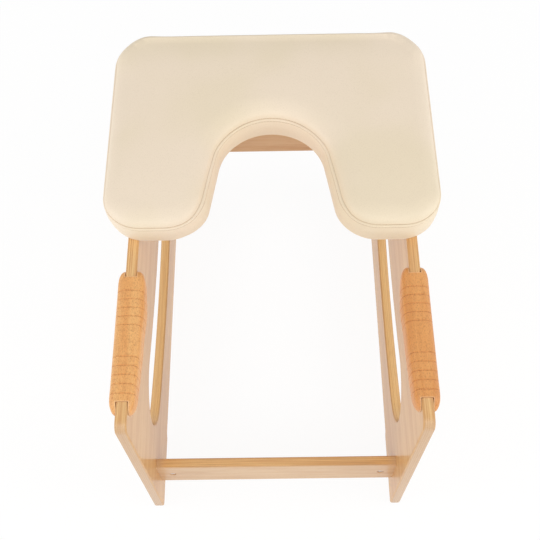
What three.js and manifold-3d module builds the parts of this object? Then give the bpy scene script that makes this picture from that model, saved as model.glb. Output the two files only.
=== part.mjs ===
// Headstand bench: two slotted plywood side panels joined by three rails, a U-shaped cushion on
// its rear half and a ribbed hardwood grip over the top edge of each panel in front.
//
// Millimetres. +X is the sitter's right, +Y runs from the grips to the cushion, +Z is up.
// Along the bench, places are measured from the front edges of the side panels, and heights
// from the floor. The whole bench is then shifted so that the origin is the middle of its foot.

import * as THREE from 'three';
import { mergeVertices } from 'three/addons/utils/BufferGeometryUtils.js';
import Module from 'manifold-3d';

const wasm = await Module();
wasm.setup();

// ---------------------------------------------------------------- driving dimensions

const plyThickness = 14.5;       // panels and rails are cut from birch plywood sold as 15 mm
const frameWidth = 380;          // over the outer faces of the side panels
const looseFit = 0.3;            // play round a fastener, a cut or a sleeved edge

const panel = {
  depth: 576,
  height: 380,
  noseRadius: 13,                // upper corners
  heelRadius: 6,                 // lower corners
  frontFoot: 107,                // length of each foot on the floor
  rearFoot: 90,
  footRelief: 7,                 // the bottom edge is raised by this between the feet
  footBlend: 10,                 // length of the slope from a foot to the relief
};

const slot = {
  width: 123,                    // across the slot
  lowest: 87,                    // height of its lower edge where it hangs lowest
  lowestAt: 0.575,               // share of the panel's depth
  sweep: 1000,                   // radius of its centre line, which curves like a smile
  endMargin: 80,                 // wood left between a round end and the panel's edge
};

const rail = {
  height: 70,
  lowerClearance: 40,            // floor to the lower rail
  inset: 30,                     // outer rails, from the panels' front and rear edges
  behindArch: 23,                // arch of the cushion to the front face of the rail below it
  arris: 2,                      // rounding of the long edges
};

const bolt = { diameter: 6, headDiameter: 15, headThickness: 2.5, socket: 4, socketDepth: 2 };
const nut = { diameter: 10, backing: 3, inset: 20, driverSlot: 1.2 };
const dowel = { diameter: 8, length: 30, rise: 20 };

const cushion = {
  overhang: 30,                  // beyond the outer face of each side panel
  depth: 323,                    // rear edge to the front of the two lobes
  web: 151,                      // rear edge to the deepest point of the U
  thickness: 50,
  wallHeight: 37,                // from the base to the seam round the top panel
  crownReach: 34,                // how far inside the seam the top has risen to its full height
  gapWidth: 164,                 // between the lobes at their narrowest
  archRadius: 71.5,
  lobeInnerRadius: 61,
  lobeOuterRadius: 52,
  rearRadius: 46,
  undercut: 2,                   // the wall draws in under the base board
};

const baseBoard = { thickness: 12, inset: 8 };

const bracket = { leg: 30, sheet: 2, width: 20, fromLobe: 47, fromRear: 71 };
const bracketScrew = { diameter: 3.5, headDiameter: 7, headHeight: 2.2, length: 11 };

const grip = {
  front: 25,
  clearOfCushion: 35,
  width: 35.5,
  height: 45,
  proud: 1,                      // the grip's top stands above the panel's top edge
  squareness: 2.8,               // exponent of the section's rounded outline
  cheekEnd: { run: 22, drop: 8.5 },    // rounding at each end: its length, and how far it draws in
  topEnd: { run: 14, drop: 13 },
  bottomEnd: { run: 36, drop: 25 },
  bridge: 9.7,                   // wood over the panel's lowered edge
  bridgeMargin: 12,              // cheek left in front of and behind the bridge
  swell: 2,                      // the inner cheek fills the palm
  swellAt: 0.708,                // share of the grip's length, as are the groove places
  swellReach: 22,
  grooveStarts: [0.118, 0.586],
  groovePitch: 0.062,
  grooveCount: 5,
  grooveWidth: 1.6,
  grooveDepth: 0.7,
};
const gripScrew = { diameter: 4, headDiameter: 8, length: 30, margin: 32 };

// ---------------------------------------------------------------- materials

function finish(color, roughness, metalness = 0) {
  return new THREE.MeshStandardMaterial({ color, roughness, metalness });
}
const birchPly = () => finish(0xe0bd92, 0.5);
const hardwood = () => finish(0xdca066, 0.45);
const dowelWood = () => finish(0xd9b88c, 0.7);
const creamLeather = () => finish(0xe9dac0, 0.45);
const zincSteel = () => finish(0xb8b8b4, 0.35, 0.9);

// ---------------------------------------------------------------- solids from closed meshes

/** Welds a closed three.js geometry and hands it to the boolean library. */
function toSolid(geometry) {
  const bare = geometry.clone();
  bare.deleteAttribute('normal');
  bare.deleteAttribute('uv');
  const welded = mergeVertices(bare, 1e-4);
  const triangles = [];
  for (let i = 0; i < welded.index.count; i += 3) {
    const [a, b, c] = [0, 1, 2].map((k) => welded.index.getX(i + k));
    if (a !== b && b !== c && c !== a) triangles.push(a, b, c);
  }
  const mesh = new wasm.Mesh({
    numProp: 3,
    vertProperties: new Float32Array(welded.attributes.position.array),
    triVerts: new Uint32Array(triangles),
  });
  return new wasm.Manifold(mesh);
}

/** Brings a cut or joined solid back as a three.js geometry. */
function toGeometry(solid) {
  const mesh = solid.getMesh();
  const geometry = new THREE.BufferGeometry();
  geometry.setAttribute('position', new THREE.BufferAttribute(mesh.vertProperties, 3));
  geometry.setIndex(new THREE.BufferAttribute(mesh.triVerts, 1));
  geometry.computeVertexNormals();
  return geometry;
}

/** Takes each tool away from a body in turn. */
function cutAway(body, tools) {
  return toGeometry(tools.reduce((rest, tool) => rest.subtract(toSolid(tool)), toSolid(body)));
}

/** Skins closed rings of equal length; flatten gives the plane in which the end rings lie. */
function loft(rings, flatten) {
  const count = rings[0].length;
  const indices = [];
  for (let row = 0; row + 1 < rings.length; row += 1) {
    for (let i = 0; i < count; i += 1) {
      const [a, b] = [row * count + i, row * count + ((i + 1) % count)];
      indices.push(a, b, b + count, a, b + count, a + count);
    }
  }
  const last = (rings.length - 1) * count;
  const startCap = THREE.ShapeUtils.triangulateShape(rings[0].map(flatten), []);
  const endCap = THREE.ShapeUtils.triangulateShape(rings.at(-1).map(flatten), []);
  startCap.forEach(([a, b, c]) => indices.push(c, b, a));
  endCap.forEach(([a, b, c]) => indices.push(last + a, last + b, last + c));
  const geometry = new THREE.BufferGeometry().setFromPoints(rings.flat());
  geometry.setIndex(indices);
  geometry.computeVertexNormals();
  return geometry;
}

// turns a shape drawn in depth and height, and extruded, so that the extrusion runs along X
const depthAndHeightAlongX = new THREE.Matrix4().makeBasis(
  new THREE.Vector3(0, 1, 0),
  new THREE.Vector3(0, 0, 1),
  new THREE.Vector3(1, 0, 0),
);
const alongX = (geometry) => geometry.rotateZ(-Math.PI / 2);
const alongZ = (geometry) => geometry.rotateX(Math.PI / 2);

function rod(diameter, length, sides = 16) {
  return new THREE.CylinderGeometry(diameter / 2, diameter / 2, length, sides);
}

function block(low, high) {
  const size = high.map((value, axis) => value - low[axis]);
  const middle = high.map((value, axis) => (value + low[axis]) / 2);
  return new THREE.BoxGeometry(...size).translate(...middle);
}

// ---------------------------------------------------------------- where the joints fall

const cushionFront = panel.depth - cushion.depth;
const archApex = panel.depth - cushion.web;

const innerFace = frameWidth / 2 - plyThickness;
const railLength = 2 * innerFace;
const lowerRailMiddle = rail.lowerClearance + rail.height / 2;
const seatRailMiddle = panel.height - rail.height / 2;
const frontRailAt = rail.inset + plyThickness / 2;
const rearRailAt = panel.depth - frontRailAt;
const seatFrontRailAt = archApex + rail.behindArch + plyThickness / 2;

// facing tells which face carries the barrel nuts: -1 is the front, +1 the rear
const rails = [
  { name: 'lower_rail', at: frontRailAt, height: lowerRailMiddle, facing: -1 },
  { name: 'seat_rail_front', at: seatFrontRailAt, height: seatRailMiddle, facing: -1 },
  { name: 'seat_rail_rear', at: rearRailAt, height: seatRailMiddle, facing: 1 },
];
const sides = [
  { name: 'left', sign: -1 },
  { name: 'right', sign: 1 },
];
const brackets = [
  { name: 'front', at: cushionFront + bracket.fromLobe },
  { name: 'rear', at: panel.depth - bracket.fromRear },
];

const nutLength = plyThickness - nut.backing;
const dowelInPanel = plyThickness * 2 / 3;
const boltLength = plyThickness + nut.inset + nut.diameter / 2;
const boreDepth = boltLength - plyThickness + nut.diameter / 4;
const bracketScrewOffset = bracket.leg * 0.6;
const gripLength = cushionFront - grip.clearOfCushion - grip.front;
const bridgeStart = grip.front + grip.bridgeMargin;
const bridgeEnd = grip.front + gripLength - grip.bridgeMargin;
const gripTop = panel.height + grip.proud;
const gripMiddle = gripTop - grip.height / 2;
const loweredEdge = gripTop - grip.bridge;
const gripScrewsAt = [grip.front + gripScrew.margin, grip.front + gripLength - gripScrew.margin];
const grooves = grip.grooveStarts.flatMap((start) =>
  Array.from({ length: grip.grooveCount }, (_, i) => gripLength * (start + i * grip.groovePitch)));

// ---------------------------------------------------------------- side panels

/** The slot is a band of even width along an arc, closed by a half circle at each end. */
function slotPath() {
  const half = slot.width / 2;
  const centre = { y: slot.lowestAt * panel.depth, z: slot.lowest + half + slot.sweep };
  const angleAt = (y) => Math.asin((y - centre.y) / slot.sweep);
  const front = angleAt(slot.endMargin + half);
  const rear = angleAt(panel.depth - slot.endMargin - half);
  const down = -Math.PI / 2;
  const endCentre = (angle) => [
    centre.y + slot.sweep * Math.sin(angle),
    centre.z - slot.sweep * Math.cos(angle),
  ];
  const path = new THREE.Path();
  path.absarc(centre.y, centre.z, slot.sweep + half, down + front, down + rear, false);
  path.absarc(...endCentre(rear), half, down + rear, rear - down, false);
  path.absarc(centre.y, centre.z, slot.sweep - half, down + rear, down + front, true);
  path.absarc(...endCentre(front), half, front - down, front - down + Math.PI, false);
  return path;
}

/** The outline of a side panel in the plane of depth and height, with its slot. */
function panelShape() {
  const { depth, height, noseRadius, heelRadius, footRelief, footBlend } = panel;
  const frontBlend = panel.frontFoot + footBlend;
  const rearBlend = depth - panel.rearFoot - footBlend;
  const half = footBlend / 2;
  const shape = new THREE.Shape();
  shape.moveTo(0, height - noseRadius);
  shape.lineTo(0, heelRadius);
  shape.absarc(heelRadius, heelRadius, heelRadius, Math.PI, 1.5 * Math.PI, false);
  shape.lineTo(panel.frontFoot, 0);
  shape.bezierCurveTo(panel.frontFoot + half, 0, frontBlend - half, footRelief, frontBlend, footRelief);
  shape.lineTo(rearBlend, footRelief);
  shape.bezierCurveTo(rearBlend + half, footRelief, rearBlend + half, 0, depth - panel.rearFoot, 0);
  shape.lineTo(depth - heelRadius, 0);
  shape.absarc(depth - heelRadius, heelRadius, heelRadius, 1.5 * Math.PI, 2 * Math.PI, false);
  shape.lineTo(depth, height - noseRadius);
  shape.absarc(depth - noseRadius, height - noseRadius, noseRadius, 0, Math.PI / 2, false);
  shape.lineTo(bridgeEnd, height);
  shape.lineTo(bridgeEnd, loweredEdge);
  shape.lineTo(bridgeStart, loweredEdge);
  shape.lineTo(bridgeStart, height);
  shape.lineTo(noseRadius, height);
  shape.absarc(noseRadius, height - noseRadius, noseRadius, Math.PI / 2, Math.PI, false);
  shape.holes.push(slotPath());
  return shape;
}

/** One side panel, centred on its own middle plane; sign is -1 on the left and +1 on the right. */
function panelGeometry(sign) {
  const board = new THREE.ExtrudeGeometry(panelShape(), {
    depth: plyThickness,
    bevelEnabled: false,
    curveSegments: 9,
  });
  board.translate(0, 0, -plyThickness / 2);
  board.applyMatrix4(depthAndHeightAlongX);
  const through = (diameter, at, height) =>
    alongX(rod(diameter + 2 * looseFit, 2 * plyThickness)).translate(0, at, height);
  const blind = (diameter, depth, at, height) =>
    alongX(rod(diameter + 2 * looseFit, 2 * depth)).translate(-sign * plyThickness / 2, at, height);
  const holes = [];
  for (const { at, height } of rails) {
    holes.push(through(bolt.diameter, at, height));
    holes.push(blind(dowel.diameter, dowelInPanel + looseFit, at, height + dowel.rise));
  }
  for (const { at } of brackets) {
    const depth = bracketScrew.length - bracket.sheet + looseFit;
    holes.push(blind(bracketScrew.diameter, depth, at, panel.height - bracketScrewOffset));
  }
  for (const at of gripScrewsAt) holes.push(through(gripScrew.diameter, at, gripMiddle));
  return cutAway(board, holes);
}

// ---------------------------------------------------------------- rails and their fasteners

/** A rail standing on edge, its nuts let into the front face. Both ends are bored alike. */
function railGeometry() {
  const [thick, high] = [plyThickness / 2 - rail.arris, rail.height / 2 - rail.arris];
  const section = new THREE.Shape();
  section.absarc(thick, high, rail.arris, 0, Math.PI / 2, false);
  section.absarc(-thick, high, rail.arris, Math.PI / 2, Math.PI, false);
  section.absarc(-thick, -high, rail.arris, Math.PI, 1.5 * Math.PI, false);
  section.absarc(thick, -high, rail.arris, 1.5 * Math.PI, 2 * Math.PI, false);
  section.closePath();
  const board = new THREE.ExtrudeGeometry(section, {
    depth: railLength,
    bevelEnabled: false,
    curveSegments: 4,
  });
  board.translate(0, 0, -railLength / 2);
  board.applyMatrix4(depthAndHeightAlongX);
  const bores = [];
  for (const end of [-1, 1]) {
    const endFace = end * railLength / 2;
    const nutPocket = nutLength + looseFit;
    bores.push(
      alongX(rod(bolt.diameter + 2 * looseFit, 2 * boreDepth)).translate(endFace, 0, 0),
      alongX(rod(dowel.diameter + 2 * looseFit, 2 * (dowel.length - dowelInPanel + looseFit)))
        .translate(endFace, 0, dowel.rise),
      rod(nut.diameter + 2 * looseFit, plyThickness / 2 + nutPocket / 2 + 1)
        .translate(endFace - end * nut.inset, (nutPocket / 2 - plyThickness / 2 - 1) / 2, 0),
    );
  }
  return cutAway(board, bores);
}

/** A barrel nut lying across the rail: cross bore for the bolt, driver slot in its front end. */
function nutGeometry() {
  const barrel = rod(nut.diameter, nutLength);
  const bore = alongX(rod(bolt.diameter + 2 * looseFit, 2 * nut.diameter));
  const frontEnd = -nutLength / 2;
  const driverSlot = block(
    [-nut.diameter, frontEnd - 1, -nut.driverSlot / 2],
    [nut.diameter, frontEnd + nut.driverSlot, nut.driverSlot / 2],
  );
  return cutAway(barrel, [bore, driverSlot]);
}

/** A connector bolt pointing along +X, its flat head bearing on the plane x = 0. */
function boltGeometry() {
  const { headThickness: head, headDiameter } = bolt;
  const [rim, shank] = [headDiameter / 2, bolt.diameter / 2];
  const profile = [
    [0, -head],
    [rim - 0.8, -head],
    [rim, -head + 0.8],
    [rim, 0],
    [shank, 0],
    [shank, boltLength - 1],
    [shank - 1, boltLength],
    [0, boltLength],
  ];
  const body = alongX(turned(profile, 16));
  const socket = alongX(rod(bolt.socket / Math.cos(Math.PI / 6), 2 * bolt.socketDepth, 6))
    .translate(-head, 0, 0);
  return cutAway(body, [socket]);
}

/** Revolves [radius, height] pairs, which run from the low end of the axis to the high end. */
function turned(profile, segments) {
  const points = profile.map(([radius, height]) => new THREE.Vector2(radius, height));
  return new THREE.LatheGeometry(points, segments);
}

function dowelGeometry() {
  const [radius, half] = [dowel.diameter / 2, dowel.length / 2];
  const profile = [
    [0, -half], [radius - 1, -half], [radius, -half + 1],
    [radius, half - 1], [radius - 1, half], [0, half],
  ];
  return alongX(turned(profile, 12));
}

// ---------------------------------------------------------------- cushion and its base board

/**
 * The U outline of the cushion, drawn in by inset, as points that run counter-clockwise. Every
 * round stretch is an arc about a fixed centre, so rings of different inset match point by point.
 * The arch meets each lobe along the straight line that touches both arcs.
 */
function cushionOutline(inset) {
  const { archRadius, lobeInnerRadius, lobeOuterRadius, rearRadius } = cushion;
  const halfWidth = frameWidth / 2 + cushion.overhang;
  const arch = [0, archApex - archRadius];
  const lobeInner = [cushion.gapWidth / 2 + lobeInnerRadius, cushionFront + lobeInnerRadius];
  const lobeOuter = [halfWidth - lobeOuterRadius, cushionFront + lobeOuterRadius];
  const corner = [halfWidth - rearRadius, panel.depth - rearRadius];
  const [run, drop] = [lobeInner[0] - arch[0], lobeInner[1] - arch[1]];
  const touch = Math.atan2(drop, run)
    + Math.acos((archRadius + lobeInnerRadius) / Math.hypot(run, drop));
  const quarter = Math.PI / 2;
  const arc = (centre, radius, from, to, steps) =>
    Array.from({ length: steps + 1 }, (_, i) => {
      const angle = from + (to - from) * i / steps;
      return [centre[0] + radius * Math.cos(angle), centre[1] + radius * Math.sin(angle)];
    });
  const archArc = arc(arch, archRadius + inset, 2 * quarter - touch, touch, 14);
  const rightHalf = [
    ...arc(lobeInner, lobeInnerRadius - inset, touch + 2 * quarter, 3 * quarter, 8),
    ...arc(lobeOuter, lobeOuterRadius - inset, -quarter, 0, 8),
    ...arc(corner, rearRadius - inset, 0, quarter, 8),
  ];
  const leftHalf = rightHalf.map(([x, y]) => [-x, y]).reverse();
  return [...archArc, ...rightHalf, ...leftHalf];
}

const flattenUp = (point) => new THREE.Vector2(point.x, point.y);

function outlineRing(inset, height) {
  return cushionOutline(inset).map(([x, y]) => new THREE.Vector3(x, y, height));
}

function boardGeometry(extra = 0) {
  const rings = [-extra, baseBoard.thickness + extra].map((height) =>
    outlineRing(baseBoard.inset - extra, panel.height + height));
  return loft(rings, flattenUp);
}

/** The base board with the pilot holes of the four screws that come up through the brackets. */
function boredBoardGeometry() {
  const depth = bracketScrew.length - bracket.sheet + looseFit;
  const pilots = brackets.flatMap(({ at }) => sides.map(({ sign }) =>
    alongZ(rod(bracketScrew.diameter + 2 * looseFit, 2 * depth))
      .translate(sign * (innerFace - bracketScrewOffset), at, panel.height)));
  return cutAway(boardGeometry(), pilots);
}

/** Foam and cover: a wall that draws in below, a soft shoulder at the seam and a crowned top. */
function cushionGeometry() {
  const { thickness, wallHeight, crownReach, undercut } = cushion;
  const shoulder = thickness - wallHeight;
  const rings = [
    outlineRing(undercut, panel.height + looseFit),
    outlineRing(0, panel.height + wallHeight / 4),
    outlineRing(0, panel.height + wallHeight),
  ];
  for (const share of [0.08, 0.25, 0.55, 1]) {
    const rise = Math.sqrt(1 - (1 - share) ** 2);
    rings.push(outlineRing(crownReach * share, panel.height + wallHeight + shoulder * rise));
  }
  return cutAway(loft(rings, flattenUp), [boardGeometry(looseFit)]);
}

// ---------------------------------------------------------------- corner brackets and screws

/** A steel angle in the corner below the base board; +X runs inwards from the panel's face. */
function bracketGeometry() {
  const { leg, sheet, width } = bracket;
  const profile = new THREE.Shape();
  profile.moveTo(0, 0);
  profile.lineTo(0, -leg);
  profile.lineTo(sheet, -leg);
  profile.lineTo(sheet, -sheet);
  profile.lineTo(leg, -sheet);
  profile.lineTo(leg, 0);
  profile.closePath();
  const angle = new THREE.ExtrudeGeometry(profile, { depth: width, bevelEnabled: false });
  angle.translate(0, 0, -width / 2).rotateX(Math.PI / 2);
  const holeDiameter = bracketScrew.diameter + 2 * looseFit;
  return cutAway(angle, [
    alongX(rod(holeDiameter, 4 * sheet)).translate(0, 0, -bracketScrewOffset),
    alongZ(rod(holeDiameter, 4 * sheet)).translate(bracketScrewOffset, 0, 0),
  ]);
}

/** A pan-head wood screw pointing along +Y, its head bearing on the plane y = 0. */
function bracketScrewGeometry() {
  const { headHeight, headDiameter, diameter, length } = bracketScrew;
  return turned([
    [0, -headHeight],
    [headDiameter * 0.3, -headHeight],
    [headDiameter / 2, -headHeight * 0.4],
    [headDiameter / 2, 0],
    [diameter / 2, 0],
    [diameter / 2, length - diameter],
    [0, length],
  ], 10);
}

/** A countersunk screw pointing along +Y, the flat of its head on the plane y = 0. */
function gripScrewGeometry(extra = 0) {
  const [head, shank] = [gripScrew.headDiameter / 2 + extra, gripScrew.diameter / 2 + extra];
  return turned([
    [0, -extra * 20],
    [head, -extra * 20],
    [head, 0],
    [shank, head - shank],
    [shank, gripScrew.length + extra],
    [0, gripScrew.length + 2 * extra],
  ].filter(([radius, height], i) => extra > 0 || i !== 1), 12);
}

// ---------------------------------------------------------------- grips

/** How far one face of the grip is drawn in at a place along it, by its end roundings. */
function gripRounding(along, { run, drop }) {
  const nearestEnd = Math.min(along, gripLength - along);
  const back = Math.max(0, 1 - nearestEnd / run);
  return drop * (1 - Math.sqrt(1 - back * back));
}

/** Depth of the groove, if any, at a place along the grip. */
function grooveCut(along) {
  const offGroove = Math.min(...grooves.map((middle) => Math.abs(along - middle)));
  return grip.grooveDepth * Math.max(0, 1 - 2 * offGroove / grip.grooveWidth);
}

/** Stations along the grip: closer in the rounded ends, and three to a groove. */
function gripStations() {
  const rounding = [0, 0.02, 0.07, 0.16, 0.3].map((share) => share * grip.bottomEnd.run);
  const grooved = grooves.flatMap((middle) =>
    [-0.5, 0, 0.5].map((side) => middle + side * grip.grooveWidth));
  const stations = [...rounding, ...grooved, ...rounding.map((along) => gripLength - along)];
  return stations.sort((a, b) => a - b);
}

/** The section is a rounded oblong; its inner cheek swells a little where the palm lies. */
function gripRing(along, sign) {
  const cut = grooveCut(along);
  const halfWidth = grip.width / 2 - cut - gripRounding(along, grip.cheekEnd);
  const top = gripTop - cut - gripRounding(along, grip.topEnd);
  const bottom = gripTop - grip.height + cut + gripRounding(along, grip.bottomEnd);
  const fromSwell = (along - grip.swellAt * gripLength) / grip.swellReach;
  const swell = grip.swell * Math.exp(-fromSwell * fromSwell);
  const power = 2 / grip.squareness;
  const rounded = (value) => Math.sign(value) * Math.abs(value) ** power;
  const count = 20;
  return Array.from({ length: count }, (_, i) => {
    const angle = 2 * Math.PI * i / count;
    const across = rounded(Math.sin(angle));
    const inner = Math.max(0, -sign * across);
    return new THREE.Vector3(
      across * halfWidth - sign * inner * swell,
      grip.front + along,
      (top + bottom) / 2 + rounded(Math.cos(angle)) * (top - bottom) / 2,
    );
  });
}

/** The grip sleeves the panel's edge: a deep slot from below, open to the top at both ends. */
function gripGeometry(sign) {
  const bar = loft(
    gripStations().map((along) => gripRing(along, sign)),
    (point) => new THREE.Vector2(point.z, point.x),
  );
  const cheek = plyThickness / 2 + looseFit;
  const [below, above] = [panel.height - 2 * grip.height, panel.height + grip.height];
  const [start, end] = [grip.front - 1, grip.front + gripLength + 1];
  const cuts = [
    block([-cheek, start, below], [cheek, end, loweredEdge + looseFit]),
    block([-cheek, start, loweredEdge], [cheek, bridgeStart + looseFit, above]),
    block([-cheek, bridgeEnd - looseFit, loweredEdge], [cheek, end, above]),
  ];
  for (const at of gripScrewsAt) cuts.push(gripScrewPlaced(looseFit, sign).translate(0, at, 0));
  return cutAway(bar, cuts);
}

/** The grip screw turned to point inwards from the outer cheek, in the panel's own frame. */
function gripScrewPlaced(extra, sign) {
  const screw = gripScrewGeometry(extra).rotateZ(sign * Math.PI / 2);
  const sunk = 0.6;
  return screw.translate(sign * (grip.width / 2 - sunk), 0, gripMiddle);
}

// ---------------------------------------------------------------- assembly

const bench = new THREE.Group();
bench.position.y = -panel.depth / 2;

function add(name, geometry, material, position = [0, 0, 0], rotation = [0, 0, 0]) {
  const mesh = new THREE.Mesh(geometry, material);
  mesh.name = name;
  mesh.position.set(...position);
  mesh.rotation.set(...rotation);
  bench.add(mesh);
}

const panelMiddle = frameWidth / 2 - plyThickness / 2;

for (const { name, sign } of sides) {
  const place = [sign * panelMiddle, 0, 0];
  add(`side_panel_${name}`, panelGeometry(sign), birchPly(), place);
  add(`grip_${name}`, gripGeometry(sign), hardwood(), place);
  gripScrewsAt.forEach((at, i) => {
    const position = [sign * panelMiddle, at, 0];
    const which = ['front', 'rear'][i];
    add(`grip_screw_${which}_${name}`, gripScrewPlaced(0, sign), zincSteel(), position);
  });
}

for (const { name, at, height, facing } of rails) {
  const turn = facing < 0 ? 0 : Math.PI;
  add(name, railGeometry(), birchPly(), [0, at, height], [0, 0, turn]);
  for (const side of sides) {
    const inwards = side.sign > 0 ? Math.PI : 0;
    const nutX = side.sign * (innerFace - nut.inset);
    const dowelX = side.sign * (innerFace - dowel.length / 2 + dowelInPanel);
    const boltX = side.sign * frameWidth / 2;
    add(`barrel_nut_${name}_${side.name}`, nutGeometry(), zincSteel(), [nutX, at, height], [0, 0, turn]);
    add(`bolt_${name}_${side.name}`, boltGeometry(), zincSteel(), [boltX, at, height], [0, 0, inwards]);
    add(`dowel_${name}_${side.name}`, dowelGeometry(), dowelWood(), [dowelX, at, height + dowel.rise]);
  }
}

add('base_board', boredBoardGeometry(), birchPly());
add('cushion', cushionGeometry(), creamLeather());

for (const { name, at } of brackets) {
  for (const side of sides) {
    const id = `${name}_${side.name}`;
    const turn = side.sign > 0 ? Math.PI : 0;
    const screwX = side.sign * (innerFace - bracket.sheet);
    const screwZ = panel.height - bracketScrewOffset;
    const upX = side.sign * (innerFace - bracketScrewOffset);
    const upZ = panel.height - bracket.sheet;
    add(`bracket_${id}`, bracketGeometry(), zincSteel(), [side.sign * innerFace, at, panel.height],
      [0, 0, turn]);
    add(`bracket_side_screw_${id}`, bracketScrewGeometry(), zincSteel(), [screwX, at, screwZ],
      [0, 0, -side.sign * Math.PI / 2]);
    add(`bracket_top_screw_${id}`, bracketScrewGeometry(), zincSteel(), [upX, at, upZ], [Math.PI / 2, 0, 0]);
  }
}

export default bench;
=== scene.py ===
"""Headstand bench: the visual model, in metres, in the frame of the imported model.

Sizes in the sections are millimetres. +X is to the right of a user who faces the cushion, +Y runs
from the grips to the cushion and +Z is up.
"""

import math

import bpy
import numpy as np
from mathutils import Matrix, Vector
from mathutils.geometry import delaunay_2d_cdt


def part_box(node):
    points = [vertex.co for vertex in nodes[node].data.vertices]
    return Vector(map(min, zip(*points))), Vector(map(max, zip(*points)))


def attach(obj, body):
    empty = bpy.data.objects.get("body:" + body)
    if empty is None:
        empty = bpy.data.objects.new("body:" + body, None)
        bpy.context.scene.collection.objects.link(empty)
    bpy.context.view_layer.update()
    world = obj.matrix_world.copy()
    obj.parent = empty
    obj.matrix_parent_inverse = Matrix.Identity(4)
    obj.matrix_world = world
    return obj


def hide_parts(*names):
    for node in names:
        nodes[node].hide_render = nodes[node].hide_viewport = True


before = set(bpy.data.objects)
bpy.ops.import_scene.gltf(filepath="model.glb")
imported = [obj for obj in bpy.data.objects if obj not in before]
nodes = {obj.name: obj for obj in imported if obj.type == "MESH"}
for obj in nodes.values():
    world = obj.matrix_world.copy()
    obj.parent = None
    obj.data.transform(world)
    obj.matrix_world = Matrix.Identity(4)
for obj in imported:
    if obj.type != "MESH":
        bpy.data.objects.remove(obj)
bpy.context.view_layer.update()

# ------------------------------------------------------------------ camera
# A camera on a stand in front of the bench, looking down at the cushion and the grips. It is
# turned and tipped a little off the bench's middle plane.

eye = np.array((5.83, -605.83, 1378.94)) / 1000
tilt_down = math.radians(62.04)
turn = math.radians(-1.02)
roll = math.radians(-1.75)

ahead = np.array((math.sin(turn) * math.cos(tilt_down), math.cos(turn) * math.cos(tilt_down),
                  -math.sin(tilt_down)))
level = np.array((math.cos(turn), -math.sin(turn), 0.0))
upright = np.cross(level, ahead)
rightwards = math.cos(roll) * level + math.sin(roll) * upright
upwards = math.cos(roll) * upright - math.sin(roll) * level

camera = bpy.data.objects.new("camera", bpy.data.cameras.new("camera"))
camera.data.lens = 58.56
camera.data.sensor_width = 36
camera.data.clip_start = 0.05
camera.data.clip_end = 50
bpy.context.collection.objects.link(camera)
camera.matrix_world = Matrix([
    [*row, place] for row, place in zip(np.stack([rightwards, upwards, -ahead], 1), eye)
] + [[0, 0, 0, 1]])
bpy.context.scene.camera = camera
bpy.context.scene.view_settings.view_transform = "Standard"

# ------------------------------------------------------------------ side panels
# Two side panels routed from lacquered birch plywood, each with a long slot that curves like a
# smile and arrises rounded by hand. A step in the top edge takes the grip. The slot's lowest
# place is a share of the panel's depth.


def arithmetic(operation):
    """An operator and its reflected form, as two methods that add a Math node."""
    def operator(self, other):
        return self.finish.maths(operation, self, other)

    def reflected(self, other):
        return self.finish.maths(operation, other, self)

    return operator, reflected


class Wire:
    """One output of a shader node. Arithmetic on it adds Math nodes."""

    def __init__(self, finish, socket):
        self.finish = finish
        self.socket = socket

    def __abs__(self):
        return self.finish.maths("ABSOLUTE", self)

    __add__, __radd__ = arithmetic("ADD")
    __sub__, __rsub__ = arithmetic("SUBTRACT")
    __mul__, __rmul__ = arithmetic("MULTIPLY")
    __truediv__, __rtruediv__ = arithmetic("DIVIDE")
    __mod__, __rmod__ = arithmetic("FLOORED_MODULO")
    __lt__, __gt__ = arithmetic("LESS_THAN")


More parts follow.
